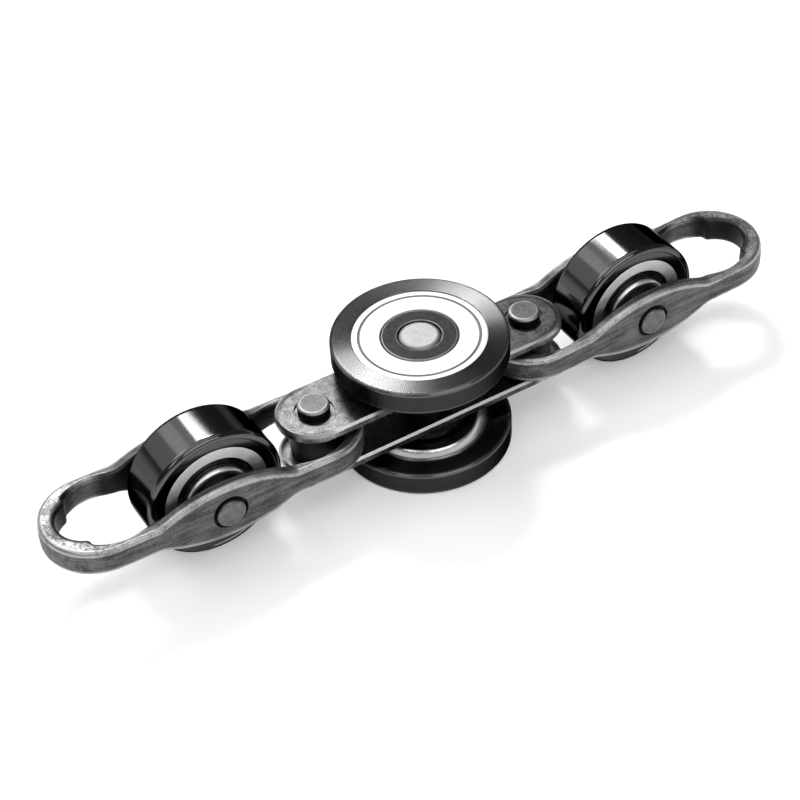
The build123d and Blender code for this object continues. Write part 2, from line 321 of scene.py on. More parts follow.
class Graph:
    """The nodes of one material."""

    def __init__(self, name: str) -> None:
        """Makes an empty material with its shader."""
        self.material = bpy.data.materials.new(name)
        self.material.use_nodes = True
        self.tree = self.material.node_tree
        self.shader = self.tree.nodes["Principled BSDF"]

    @classmethod
    def of_world(cls, world: bpy.types.World) -> "Graph":
        """Returns the graph of a world instead of a new material's."""
        graph = cls.__new__(cls)
        graph.tree, graph.shader = world.node_tree, world.node_tree.nodes["Background"]
        return graph

    def node(self, kind: str, settings: dict | None = None, inputs: dict | None = None) -> bpy.types.Node:
        """Adds a node.

        Args:
            kind: Blender's name of the node's type.
            settings: Its properties, set first.
            inputs: The value or link of each of its sockets, by name or number.

        Returns:
            The node.
        """
        node = self.tree.nodes.new(kind)
        for key, value in (settings or {}).items():
            setattr(node, key, value)
        for key, value in (inputs or {}).items():
            self.feed(node.inputs[key], value)
        return node

    def feed(self, socket: bpy.types.NodeSocket, value: object) -> None:
        """Links a socket to a value's socket, or sets its number or colour."""
        if isinstance(value, Value):
            value = value.socket
        if isinstance(value, bpy.types.NodeSocket):
            self.tree.links.new(value, socket)
        elif isinstance(value, tuple) and socket.type == "RGBA" and len(value) == 3:
            socket.default_value = (*value, 1.0)
        else:
            socket.default_value = value

    def set(self, **values: object) -> None:
        """Feeds the shader's sockets, named with _ for a space."""
        for key, value in values.items():
            self.feed(self.shader.inputs[key.replace("_", " ")], value)

    def coordinates(self, reads: Reads) -> bpy.types.NodeSocket:
        """Returns the piece's own coordinates, or Object coordinates, in metres."""
        if reads is Reads.OWN:
            return self.node("ShaderNodeAttribute", {"attribute_name": "own"}).outputs["Vector"]
        return self.node("ShaderNodeTexCoord").outputs["Object"]

    def stretched(self, vector: bpy.types.NodeSocket, scale: tuple[float, float, float]) -> bpy.types.NodeSocket:
        """Returns coordinates scaled by a different number on each axis."""
        return self.node("ShaderNodeMapping", {}, {"Vector": vector, "Scale": scale}).outputs[0]

    def split(self, vector: bpy.types.NodeSocket) -> tuple[Value, Value, Value]:
        """Returns a vector's three numbers."""
        out = self.node("ShaderNodeSeparateXYZ", {}, {0: vector}).outputs
        return Value(self, out[0]), Value(self, out[1]), Value(self, out[2])

    def noise(self, vector: bpy.types.NodeSocket, scale: float, detail: float = 3.0, rough: float = 0.55) -> Value:
        """Returns cloud noise from 0 to 1."""
        node = self.node(
            "ShaderNodeTexNoise", {}, {"Vector": vector, "Scale": scale, "Detail": detail, "Roughness": rough}
        )
        return Value(self, node.outputs[0])

    def rings(self, vector: bpy.types.NodeSocket, scale: float) -> Value:
        """Returns noise that runs round the z axis: it varies with radius and height alone."""
        x, y, height = self.split(vector)
        lathe = self.node("ShaderNodeCombineXYZ", {}, {0: length(x, y), 1: height, 2: 0.0}).outputs[0]
        return self.noise(lathe, scale, 3.0, 0.6)

    def attribute(self, name: str) -> Value:
        """Returns a number that the mesh keeps for each point."""
        return Value(self, self.node("ShaderNodeAttribute", {"attribute_name": name}).outputs["Fac"])

    def edge_wear_and_highlight(self) -> Value:
        """Returns the attribute that says how far a point lies on a rounded edge."""
        return self.attribute("wear_and_highlight")

    def blend(self, factor: Value, first: object, second: object) -> bpy.types.NodeSocket:
        """Returns a mix of two colours."""
        node = self.node("ShaderNodeMix", {"data_type": "RGBA"}, {0: factor, 6: first, 7: second})
        return node.outputs[2]

    def bump(self, height: Value, depth: float) -> bpy.types.NodeSocket:
        """Returns a normal bent by a height from 0 to 1 that is worth depth millimetres."""
        node = self.node("ShaderNodeBump", {}, {"Strength": 1.0, "Distance": depth * MM, "Height": height})
        return node.outputs[0]


def shown_rays(g: Graph) -> Value:
    """Returns 1 for the rays that show a background: the camera's and those off shiny or through clear surfaces."""
    rays = g.node("ShaderNodeLightPath").outputs
    through = Value(g, rays["Is Glossy Ray"]) + Value(g, rays["Is Transmission Ray"])
    return Value(g, rays["Is Camera Ray"]) + through


# Finishes


@dataclass(frozen=True)
class ForgedFinish:
    """Shot-blasted forging: fine pits, streaks along the link, rims rubbed bright and carrying a painted highlight,
    the top of the loop's ends painted bright as a highlight, inside walls and the sunk ring round the rivet painted
    dark as shade.
    """

    slot: str = "forged_steel"
    painted_shade: Grey = (0.01, 0.01, 0.0101)
    dark: Grey = (0.06, 0.06, 0.061)
    mid: Grey = (0.17, 0.17, 0.172)
    bright: Grey = (0.5, 0.5, 0.5)
    ring_radius: float = 5.7
    bay: tuple[float, float] = (29.5, 37.5)
    bay_soft: float = 2.5
    end: tuple[float, float] = (30.0, 42.0)
    top: tuple[float, float] = (3.4, 4.2)
    depth: float = 0.06

    def material(self, name: str) -> bpy.types.Material:
        """Builds the material.

        The sunk ring, where the distance to the rivet's axis is small, is painted dark as shade. The inside walls are
        painted dark as shade too, less so in the bays.
        """
        g = Graph(name)
        own = g.coordinates(Reads.OWN)
        streaks = g.noise(g.stretched(own, (60.0, 420.0, 560.0)), 1.0, 4.0, 0.6)
        pits = g.noise(own, 1500.0, 2.0, 0.6)
        cloud = g.noise(own, 130.0, 3.0)
        pattern = (streaks * 0.5 + cloud * 0.25 + pits * 0.25).step(0.38, 0.62)
        base = g.blend(pattern, self.dark, self.mid)
        # Rounded edges rubbed bright, partly a painted edge highlight.
        rub_and_highlight = g.edge_wear_and_highlight() * (cloud * 0.7 + pits * 0.6).step(0.3, 0.75) * 0.8
        x, _, z = g.split(own)
        # Painted highlight on the top face of the loop's ends.
        end_top_highlight = x.step(self.end[0] * MM, self.end[1] * MM) * z.step(self.top[0] * MM, self.top[1] * MM)
        rub_and_highlight = rub_and_highlight + end_top_highlight * (0.85 - rub_and_highlight) * (pits * 0.45 + cloud * 0.6).step(0.4, 0.7)
        # Painted shade in the sunk ring round the rivet.
        ring = 1 - length(x, z).past(self.ring_radius)
        # Painted shade on the inner walls, lighter in the bays.
        bay = abs(x).band(self.bay[0] * MM, self.bay[1] * MM, self.bay_soft * MM)
        inside = g.attribute("shade").step(0.75, 1.0) * (0.92 - bay * 0.75)
        base = g.blend(inside, g.blend(rub_and_highlight, base, self.bright), self.painted_shade)
        g.set(Base_Color=g.blend(ring, base, self.painted_shade), Metallic=1.0, Roughness=0.46 - rub_and_highlight * 0.14 + pits * 0.06)
        g.set(Normal=g.bump(pits * 0.6 + streaks * 0.4, self.depth))
        return g.material


@dataclass(frozen=True)
class PlateFinish:
    """Rolled plate with a fine grain; its bevels and the rim at its ends painted bright as a highlight, the rim bent
    round by a bump.
    """

    slot: str = "plate_steel"
    dark: Grey = (0.03, 0.03, 0.0305)
    mid: Grey = (0.13, 0.13, 0.131)
    bright: Grey = (0.62, 0.62, 0.62)
    half_width: float = 12.0
    rim: float = 2.4
    rim_drop: float = 0.7
    end: tuple[float, float] = (30.0, 42.0)
    bevel: tuple[float, float] = (0.5, 0.9)

    def material(self, name: str) -> bpy.types.Material:
        """Builds the material.

        A bevel is where the surface looks half upwards. The rim is where the distance to the line between
        the pins comes near half the plate's width.
        """
        g = Graph(name)
        place = g.coordinates(Reads.OBJECT)
        grain = g.noise(place, 1800.0, 2.0, 0.6)
        cloud = g.noise(place, 420.0, 4.0, 0.7)
        _, _, upward = g.split(g.node("ShaderNodeTexCoord").outputs["Normal"])
        bevel = abs(upward).band(*self.bevel, 0.05)
        x, y, _ = g.split(place)
        past = abs(x) - PIN_OFFSET * MM
        past = (past + abs(past)) * 0.5
        into = length(past, y) * (1 / (self.rim * MM)) - (self.half_width - self.rim) / self.rim
        into = (into + abs(into)) * 0.5 * abs(x).step(self.end[0] * MM, self.end[1] * MM)
        base = g.blend((cloud * 0.5 + grain * 0.5).step(0.35, 0.65), self.dark, self.mid)
        # Painted highlight: the bevels and the rim at the plate's ends take the bright colour.
        bright = bevel * 0.6 + (1 - bevel) * into.step(0.15, 0.8) * grain.step(0.2, 0.6) * 0.8
        g.set(Base_Color=g.blend(bright, base, self.bright), Metallic=1.0, Roughness=0.33 + bevel * 0.05)
        g.set(Normal=g.bump(grain * 0.04 - into * into, self.rim_drop))
        return g.material


@dataclass(frozen=True)
class BlackFinish:
    """Black oxide on turned steel: dark, damped at a grazing look, with turning marks round the axis."""

    slot: str = "black_tread"
    black: Grey = (0.1, 0.1, 0.101)
    rub_and_highlight_colour: Grey = (0.1, 0.1, 0.101)
    edge: Grey = (0.1, 0.1, 0.1)
    roughness: float = 0.09
    spread: float = 0.0
    marks: float = 0.003
    face: Grey = (0.115, 0.115, 0.116)
    face_height: float = 20.5

    def material(self, name: str) -> bpy.types.Material:
        """Builds the material. The marks are noise over radius and height, so they run round the piece."""
        g = Graph(name)
        own = g.coordinates(Reads.OWN)
        _, _, height = g.split(own)
        face = height.past(self.face_height)
        rings = g.rings(own, 3800.0)
        cloud = g.noise(own, 90.0, 2.0)
        grain = (rings * 0.6 + g.noise(own, 900.0, 3.0) * 0.4).step(0.3, 0.7)
        black = g.blend(grain, dimmed(self.black, 0.75), self.black)
        black = g.blend(face, black, self.face)
        # Rounded edges take their own colour: wear, and on the load tread a painted edge highlight.
        g.set(Base_Color=g.blend(g.edge_wear_and_highlight(), black, self.rub_and_highlight_colour), Metallic=1.0, Specular_Tint=self.edge)
        g.set(Roughness=self.roughness + cloud * 0.05, Normal=g.bump(rings, self.marks))
        g.set(Anisotropic=self.spread, Anisotropic_Rotation=0.25)
        return g.material


@dataclass(frozen=True)
class RolledFinish:
    """Dark pressed ring whose raised middle ends in a broad rolled edge, painted bright there as a highlight."""

    slot: str = "dark_shield"
    black: Grey = (0.05, 0.05, 0.051)
    rub_and_highlight_colour: Grey = (0.75, 0.75, 0.75)
    roll: tuple[float, float] = (16.4, 20.3)
    rub_and_highlight: tuple[float, float] = (17.0, 20.0)
    rub_and_highlight_soft: float = 0.5
    drop: float = 3.0

    def material(self, name: str) -> bpy.types.Material:
        """Builds the material. The edge is bent as if it fell by drop between the two radii."""
        g = Graph(name)
        own = g.coordinates(Reads.OWN)
        x, y, _ = g.split(own)
        radius = length(x, y)
        fall = radius.step(self.roll[0] * MM, self.roll[1] * MM)
        cloud = g.noise(own, 500.0, 3.0)
        # Painted highlight on the rolled edge.
        rub_and_highlight = radius.band(self.rub_and_highlight[0] * MM, self.rub_and_highlight[1] * MM, self.rub_and_highlight_soft * MM) * (0.75 + cloud * 0.4)
        g.set(Base_Color=g.blend(rub_and_highlight, self.black, self.rub_and_highlight_colour), Metallic=1.0, Roughness=0.24 + cloud * 0.1)
        g.set(Normal=g.bump(1 - fall + cloud * 0.01, self.drop))
        return g.material


@dataclass(frozen=True)
class PinFinish:
    """Pin with a dark wall, painted shade, and a head rubbed bright at its rounded edge, partly a painted highlight.
    """

    slot: str = "bright_pin"
    shaded_wall: Grey = (0.03, 0.03, 0.0305)
    head: Grey = (0.14, 0.14, 0.141)
    edge: Grey = (0.4, 0.4, 0.4)
    head_height: float = 11.2

    def material(self, name: str) -> bpy.types.Material:
        """Builds the material. The head is where the height from the pin's middle is large."""
        g = Graph(name)
        own = g.coordinates(Reads.OWN)
        _, _, height = g.split(own)
        cloud = g.noise(own, 520.0, 3.0, 0.6)
        head = abs(height).step(self.head_height * MM, self.head_height * MM + 0.0003)
        mottled = g.blend(cloud.step(0.3, 0.7), dimmed(self.head, 0.6), self.head)
        # Painted shade on the wall below the head; painted highlight with wear on the head's rounded edge.
        base = g.blend(head, self.shaded_wall, g.blend(g.edge_wear_and_highlight() * 0.8, mottled, self.edge))
        g.set(Base_Color=base, Metallic=1.0, Roughness=0.4 + cloud * 0.1, Normal=g.bump(cloud, 0.04))
        return g.material


@dataclass(frozen=True)
class ShieldFinish:
    """Pale plated pressed ring."""

    slot: str = "pale_shield"
    pale: Grey = (0.9, 0.9, 0.9)
    dim: Grey = (0.84, 0.84, 0.84)
    painted_shade: Grey = (0.1, 0.1, 0.1)
    groove: tuple[float, float] = (18.25, 19.15)
    groove_soft: float = 0.12
    low: tuple[float, float] = (28.0, 36.0)

    def material(self, name: str) -> bpy.types.Material:
        """Builds the material. Its groove and its low half, where the height over the floor is small, are painted dark
        as shade.
        """
        g = Graph(name)
        own = g.coordinates(Reads.OWN)
        x, y, _ = g.split(own)
        _, _, height = g.split(g.coordinates(Reads.OBJECT))
        cloud = g.noise(own, 220.0, 3.0)
        # Painted shade in the groove.
        line = length(x, y).band(self.groove[0] * MM, self.groove[1] * MM, self.groove_soft * MM) * 0.85
        # Painted shade over the low half, darker towards the floor.
        low = 1 - (height + cloud * 0.006).step(self.low[0] * MM, self.low[1] * MM)
        painted_shade_mask = line + low - line * low
        base = g.blend(painted_shade_mask, g.blend(cloud.step(0.3, 0.7), self.dim, self.pale), self.painted_shade)
        g.set(Base_Color=base, Metallic=0.1, Roughness=0.3 + cloud * 0.1)
        g.set(Normal=g.bump(cloud, 0.01))
        return g.material


@dataclass(frozen=True)
class TurnedFinish:
    """Lathe-turned steel: fine rings round its axis, rounded edges in a colour of their own, worn, and on the bright
    hub a painted highlight.
    """

    slot: str
    steel: Grey
    bright: Grey
    roughness: float = 0.35
    mottle: float = 0.3
    reads: Reads = Reads.OWN

    def material(self, name: str) -> bpy.types.Material:
        """Builds the material."""
        g = Graph(name)
        own = g.coordinates(self.reads)
        rings = g.rings(own, 4200.0)
        cloud = g.noise(own, 700.0, 3.0, 0.6)
        dark = dimmed(self.steel, 1 - self.mottle)
        base = g.blend((cloud * 0.7 + rings * 0.3).step(0.3, 0.7), dark, self.steel)
        # Rounded edges take their own colour: wear, and on the bright hub a painted highlight.
        rub_and_highlight = g.edge_wear_and_highlight()
        g.set(Base_Color=g.blend(rub_and_highlight, base, self.bright), Metallic=1.0, Roughness=self.roughness + cloud * 0.1)
        g.set(Normal=g.bump(rings * 0.5 + cloud * 0.5, 0.02))
        return g.material


@dataclass(frozen=True)
class Finishes:
    """Every finish of the chain, one for each material slot of the record."""

    forged: ForgedFinish = ForgedFinish()
    plate: PlateFinish = PlateFinish()
    guide_tread: BlackFinish = BlackFinish()
    load_tread: BlackFinish = BlackFinish(
        black=(0.05, 0.05, 0.051), rub_and_highlight_colour=(0.12, 0.12, 0.121), roughness=0.22, spread=1.0, marks=0.0005
    )
    dark_shield: RolledFinish = RolledFinish()
    shield: ShieldFinish = ShieldFinish()
    dark_hub: TurnedFinish = TurnedFinish("dark_hub", (0.04, 0.04, 0.041), (0.18, 0.18, 0.18), 0.42, 0.5)
    # The bright hub's rounded ends carry a painted highlight.
    bright_hub: TurnedFinish = TurnedFinish("bright_hub", (0.3, 0.3, 0.302), (0.8, 0.8, 0.8), 0.3, 0.3)
    pin: PinFinish = PinFinish()
    bright_rivet: TurnedFinish = TurnedFinish("bright_rivet", (0.45, 0.45, 0.45), (0.3, 0.3, 0.3), 0.5, 0.25)
    rivet: TurnedFinish = TurnedFinish("rivet_steel", (0.2, 0.2, 0.202), (0.12, 0.12, 0.12), 0.38, 0.45)
    roller: TurnedFinish = TurnedFinish(
        "roller_steel", (0.06, 0.06, 0.061), (0.2, 0.2, 0.2), 0.25, 0.1, Reads.OBJECT
    )

    def build(self) -> dict[str, bpy.types.Material]:
        """Returns each slot's material."""
        every = (
            self.forged, self.plate, self.guide_tread, self.dark_shield, self.shield, self.dark_hub,
            self.bright_hub, self.pin, self.bright_rivet, self.rivet, self.roller,
        )
        materials = {finish.slot: finish.material(finish.slot) for finish in every}
        materials["load_tread"] = self.load_tread.material("load_tread")
        return materials


# Sub-assemblies


@dataclass
class Workshop:
    """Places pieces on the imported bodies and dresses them."""

    materials: dict[str, bpy.types.Material]

    def dress(self, piece: bpy.types.Object, node: str, slot: str, finish: str = "") -> None:
        """Lets a new piece stand for a node, ride on its body and take a finish, the slot's own if none is named."""
        bodies = frame["record"]["behaviour"]["bodies"]
        body = next(name for name, nodes in bodies.items() if node in nodes)
        piece.data.materials.clear()
        piece.data.materials.append(self.materials[finish or slot])
        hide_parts(node)
        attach(piece, body)
        LOG.info("%s stands for %s on %s", piece.name, node, body)

    def finish_nodes(self) -> None:
        """Gives every CAD node that still shows the finish of its slot."""
        for part in frame["record"]["subparts"]:
            shown = frame["nodes"][part["node"]]
            for slot in shown.material_slots:
                slot.material = self.materials[part["material_slot"]]
            LOG.info("%s keeps its solid, in %s", part["node"], part["material_slot"])


@dataclass
class LoadWheel:
    """One flat wheel of the load link: tread, two shields and the hub."""

    level: Level
    inner_face: float = 12.8
    outer_face: float = 20.8
    radius: float = 27.63
    edge: float = 1.0
    shield_radius: float = 21.0
    shield_bore: float = 12.3
    shield_recess: float = 0.3
    shield_seat: float = 1.1
    groove_radius: float = 18.7
    groove_depth: float = 0.4
    crown_radius: float = 19.9
    crown_height: float = 0.8
    crown_round: float = 3.4
    race_outer: float = 16.0
    race_inner: float = 9.0
    hub_radius: float = 12.0
    hub_recess: float = 0.3
    hub_inner: float = 11.0
    axle_radius: float = 5.0
    head_hole: float = 6.9
    head_seat: float = 18.65

    def place(self) -> Place:
        """Returns the chain's centre, looking along the axle to this wheel."""
        return upright(0.0, self.level.way)

    def tread(self) -> bpy.types.Object:
        """Makes the running surface, its rims rounded."""
        low, high, r = self.inner_face, self.outer_face, self.radius
        seat, fine = self.shield_seat, 0.08
        section = [
            (self.race_outer, low + seat, fine), (self.shield_radius, low + seat, fine),
            (self.shield_radius, low, 0.15), (r, low, self.edge),
            (r, high, self.edge), (self.shield_radius, high, 0.15),
            (self.shield_radius, high - seat, fine), (self.race_outer, high - seat, fine),
        ]
        return turned(f"{self.level.label}_load_running_ring", self.place(), rounded_profile(section))

    def outer_shield(self) -> bpy.types.Object:
        """Makes the pale ring on the outer face, with its fine groove."""
        top = self.outer_face - self.shield_recess
        low, groove, deep = self.outer_face - self.shield_seat, self.groove_radius, self.groove_depth
        section = [
            (self.shield_bore, low, BREAK), (self.shield_radius, low, BREAK),
            (self.shield_radius, top, 0.2), (groove + deep, top, 0.1),
            (groove, top - deep, 0.1), (groove - deep, top, 0.1), (self.shield_bore, top, 0.15),
        ]
        return turned(f"{self.level.label}_load_pale_ring", self.place(), rounded_profile(section))

    def inner_shield(self) -> bpy.types.Object:
        """Makes the ring on the plate's side.

        Its raised middle ends in a bulge, a quarter of an ellipse as wide as crown_round and as high as the step.
        """
        rim, seat = self.inner_face + self.shield_recess, self.inner_face + self.shield_seat
        crown, wide = self.inner_face - self.crown_height, self.crown_round
        turn = np.linspace(0, np.pi / 2, 12)
        x, y = self.crown_radius - wide + wide * np.sin(turn), rim - (rim - crown) * np.cos(turn)
        bulge = np.stack([x, y], axis=-1)
        outer, bore = self.shield_radius, self.shield_bore
        rest = np.array([
            (outer, rim), (outer, seat), (bore, seat), (bore, crown),
            (bore + 0.3, crown), (self.crown_radius - wide - 0.3, crown),
        ])
        wear_and_highlight = np.concatenate([np.sin(turn * 2) ** 0.5, np.zeros(len(rest))])
        section = Profile(np.concatenate([bulge, rest]), wear_and_highlight, True)
        return turned(f"{self.level.label}_load_raised_ring", self.place(), section)

    def hub(self) -> bpy.types.Object:
        """Makes the spool between washer and axle head."""
        face = self.outer_face - self.hub_recess
        low, high = self.inner_face + self.shield_seat, self.outer_face - self.shield_seat
        section = [
            (self.axle_radius, self.hub_inner, BREAK), (self.hub_radius, self.hub_inner, 0.2),
            (self.hub_radius, low, BREAK), (self.race_inner, low, BREAK),
            (self.race_inner, high, BREAK), (self.hub_radius, high, BREAK),
            (self.hub_radius, face, 0.45), (self.head_hole, face, 0.2),
            (self.head_hole, self.head_seat, BREAK), (self.axle_radius, self.head_seat, BREAK),
        ]
        return turned(f"{self.level.label}_load_spool", self.place(), rounded_profile(section))

    def build(self, shop: Workshop) -> None:
        """Builds and dresses the wheel's pieces."""
        name = self.level.label
        shop.dress(self.tread(), f"{name}_load_tread", "black_tread", "load_tread")
        shop.dress(self.outer_shield(), f"{name}_load_outer_shield", "pale_shield")
        shop.dress(self.inner_shield(), f"{name}_load_inner_shield", "dark_shield")
        shop.dress(self.hub(), f"{name}_load_hub", "dark_hub")


@dataclass
class LoadLink:
    """The load link's own turned pieces: the axle and both connecting pins."""

    axle_radius: float = 5.0
    head_radius: float = 6.6
    head_top: float = 20.65
    head_seat: float = 18.65
    head_round: float = 1.1
    pin_radius: float = 5.0
    pin_end: float = 12.2
    pin_round: float = 0.8

    def axle(self) -> bpy.types.Object:
        """Makes the riveted axle with its rounded heads."""
        top, seat = self.head_top, self.head_seat
        section = [
            (0.0, top, 0.0), (self.head_radius, top, self.head_round), (self.head_radius, seat, BREAK),
            (self.axle_radius, seat, BREAK), (self.axle_radius, -seat, BREAK),
            (self.head_radius, -seat, BREAK), (self.head_radius, -top, self.head_round), (0.0, -top, 0.0),
        ]
        return turned("load_rivet", upright(0.0), rounded_profile(section, closed=False))

    def pin(self, side: Side) -> bpy.types.Object:
        """Makes a connecting pin with rounded ends."""
        end, r = self.pin_end, self.pin_radius
        section = [(0.0, end, 0.0), (r, end, self.pin_round), (r, -end, self.pin_round), (0.0, -end, 0.0)]
        place = upright(side.way * PIN_OFFSET)
        return turned(f"{side.label}_link_pin", place, rounded_profile(section, closed=False))

    def build(self, shop: Workshop) -> None:
        """Builds and dresses the axle and the pins."""
        shop.dress(self.axle(), "load_axle", "bright_rivet")
        for side in Side:
            shop.dress(self.pin(side), f"{side.label}_connecting_pin", "bright_pin")


@dataclass
class GuideLink:
    """One forged guide link with its wheel, hub and rivet."""

    side: Side
    wheel_radius: float = 22.12
    half_width: float = 8.1
    edge: float = 1.6
    bead_radius: float = 20.2
    shield_radius: float = 16.9
    shield_bore: float = 13.0
    shield_recess: float = 0.3
    shield_seat: float = 1.1
    race_outer: float = 14.8
    race_inner: float = 7.8
    hub_radius: float = 10.4
    hub_end: float = 9.6
    hub_round: float = 1.2
    axle_radius: float = 3.9
    rivet_radius: float = 4.7
    rivet_height: float = 1.4
    rivet_fullness: float = 0.7
    rivet_sink: float = 0.9
    rivet_ring: float = 5.6
    link_end: float = 52.4
    link_half_width: float = 17.0
    loop_wall: float = 5.4
    cheek_wall: float = 4.7
    seat_reach: float = 41.0
    bay_centre: float = 31.79
    bay_depth: float = 1.6
    bar_half_height: float = 4.4
    cheek_half_height: float = 10.0
    cheek_reach: float = 22.0
    draft: float = 3.0
    rim_round: float = 1.35
    bay_blend: float = 0.7
    straight_blend: float = 1.2
    seat_blend: float = 1.0
    cheek_blend: float = 1.15
    rivet_rim: float = 0.1
    tread_step: float = 0.2

    def lean(self) -> float:
        """Returns the link's lean in radians, which sets both kinds of wheel on the floor."""
        return float(np.arcsin((self.wheel_radius - CENTRE_HEIGHT) / PIN_OFFSET))

    def along(self) -> tuple[float, float, float]:
        """Returns the way that the leaning link points, outwards from its pin."""
        return (self.side.way * float(np.cos(self.lean())), 0.0, float(np.sin(self.lean())))

    def centre(self) -> tuple[float, float, float]:
        """Returns the guide wheel's centre."""
        x, _, z = self.along()
        return (self.side.way * PIN_OFFSET + x * PIN_OFFSET, 0.0, CENTRE_HEIGHT + z * PIN_OFFSET)

    def link_place(self) -> Place:
        """Returns the wheel's centre with x along the link and z upwards."""
        x, _, z = self.along()
        return Place(self.centre(), (x, 0.0, z), (-z * self.side.way, 0.0, x * self.side.way))

    def wheel_place(self, way: float = 1.0) -> Place:
        """Returns the wheel's centre, looking along the axle to the back (1) or the front (-1)."""
        return Place(self.centre(), self.along(), (0.0, way, 0.0))

    def window_depth(self, points: Array) -> Array:
        """Returns how far each plan point lies outside the loop's window, negative inside it.

        The window is the round bays, cut off at the seats' reach, joined smoothly to the straight cheeks and
        to the seats, which are circles about the pins.
        """
        half = self.link_half_width - self.cheek_wall
        x, y = np.abs(points[..., 0]), np.abs(points[..., 1])
        round_bay = half + self.bay_depth - np.hypot(x - self.bay_centre, y)
        bay = -joined(self.seat_reach - x, round_bay, self.bay_blend)
        straight = np.maximum(x - self.bay_centre, y - half)
        seat = np.hypot(x - PIN_OFFSET, y) - (self.link_end - self.loop_wall - PIN_OFFSET)
        return joined(joined(bay, straight, self.straight_blend), seat, self.seat_blend)

    def half_height(self, x: Array) -> Array:
        """Returns half the link's height at each x: the bar's, or the arch of the cheek where that is higher."""
        rise = self.cheek_half_height - self.bar_half_height
        arch_radius = (self.cheek_reach**2 + rise**2) / (2 * rise)
        arch = np.sqrt(np.maximum(arch_radius**2 - x**2, 0)) - arch_radius + self.cheek_half_height
        return -joined(-arch, np.full_like(arch, -self.bar_half_height), self.cheek_blend)

    def outline(self, straight: int, bend: int) -> tuple[Array, Array]:
        """Returns points round the link's outer wall in plan, with their outward normals.

        The wall is two straight runs, joined by two half circles.
        """
        reach = self.link_end - self.link_half_width
        angle = np.linspace(-np.pi / 2, np.pi / 2, bend, endpoint=False)
        run = np.linspace(1, -1, straight, endpoint=False) * reach
        arc = np.stack([np.cos(angle), np.sin(angle)], axis=-1)
        flat = np.stack([np.zeros(straight), np.ones(straight)], axis=-1)
        top = np.stack([run, np.full(straight, self.link_half_width)], axis=-1)
        half = np.concatenate([arc * self.link_half_width + [reach, 0], top])
        normal = np.concatenate([arc, flat])
        return np.concatenate([half, -half]), np.concatenate([normal, -normal])

    def wall_thickness(self, outer: Array, normal: Array) -> Array:
        """Returns the wall's thickness at each outer point, found by halving the way inwards to the window's edge."""
        low, high = np.zeros(len(outer)), np.full(len(outer), self.link_half_width * 0.6)
        for _ in range(40):
            middle = (low + high) / 2
            inside = self.window_depth(outer - normal * middle[:, None]) < 0
            high = np.where(inside, middle, high)
            low = np.where(inside, low, middle)
        return low

    def forging(self) -> bpy.types.Object:
        """Makes the forged loop.

        A rounded rectangle is carried round the loop in plan. Its width is the wall's and its height the side
        view's. Towards its top and bottom it narrows by the forging draft: its tangent times the height.
        """
        outer, normal = self.outline(straight=260, bend=200)
        thick = self.wall_thickness(outer, normal)
        middle = outer - normal * (thick / 2)[:, None]
        height = self.half_height(middle[:, 0])
        half = thick / 2
        corner = np.minimum(self.rim_round, half * 0.92)
        steps = 5
        quarter = np.linspace(0, np.pi / 2, steps + 1)
        angle = (np.arange(4) * np.pi / 2)[:, None] + quarter
        sign_across = np.array([1, -1, -1, 1])[:, None]
        sign_up = np.array([1, 1, -1, -1])[:, None]
        arc_across = sign_across * (half - corner)[:, None, None] + corner[:, None, None] * np.cos(angle)
        arc_up = sign_up * (height - corner)[:, None, None] + corner[:, None, None] * np.sin(angle)
        arc = np.stack([arc_across, arc_up], axis=-1)
        start, finish = np.roll(arc[:, :, :1], -1, 1), arc[:, :, -1:]
        share = np.array([0.05, 0.28, 0.5, 0.72, 0.95])[:, None]
        side = finish + (start - finish) * share
        section = np.concatenate([arc, side], axis=2).reshape(len(outer), -1, 2)
        edge_wear_and_highlight = np.concatenate([np.ones(steps + 1), np.zeros(len(share))])
        across, up = section[..., 0], section[..., 1]
        across = across * (1 - np.tan(np.radians(self.draft)) * np.abs(up) / half[:, None])
        plan = middle[:, None] + normal[:, None] * across[..., None]
        grid = np.concatenate([plan, up[..., None]], axis=-1)
        wear_and_highlight = np.tile(edge_wear_and_highlight, (len(outer), 4))
        # Inner side of the wall, where the forged finish paints shade.
        shade = np.clip(0.5 - across / half[:, None], 0, 1)
        piece = surface(f"{self.side.label}_forged_loop", self.link_place(), grid, wear_and_highlight, True, shade)
        for way in (1.0, -1.0):
            self.sink_ring(piece, way)
        return piece

    def sink_ring(self, piece: bpy.types.Object, way: float) -> None:
        """Cuts the shallow ring round the rivet into one cheek."""
        face, floor = self.link_half_width + 1.0, self.link_half_width - self.rivet_sink
        section = [(0.0, face, 0.0), (self.rivet_ring, face, BREAK), (self.rivet_ring, floor, 0.1), (0.0, floor, 0.0)]
        shape = rounded_profile(section, closed=False)
        cutter = turned("ring_cutter", self.wheel_place(way), Profile(shape.points, shape.wear_and_highlight * 0, False), 64)
        cut = piece.modifiers.new("ring", "BOOLEAN")
        cut.operation = "DIFFERENCE"
        cut.solver = "EXACT"
        cut.object = cutter
        whole = bpy.data.meshes.new_from_object(piece.evaluated_get(bpy.context.evaluated_depsgraph_get()))
        piece.modifiers.clear()
        piece.data = whole
        whole.set_sharp_from_angle(angle=np.radians(40))
        points = np.empty(len(whole.vertices) * 3)
        whole.vertices.foreach_get("co", points)
        own = self.link_place().local_points(points.reshape(-1, 3)) * MM
        whole.attributes["own"].data.foreach_set("vector", own.astype(np.float32).ravel())
        bpy.data.objects.remove(cutter)

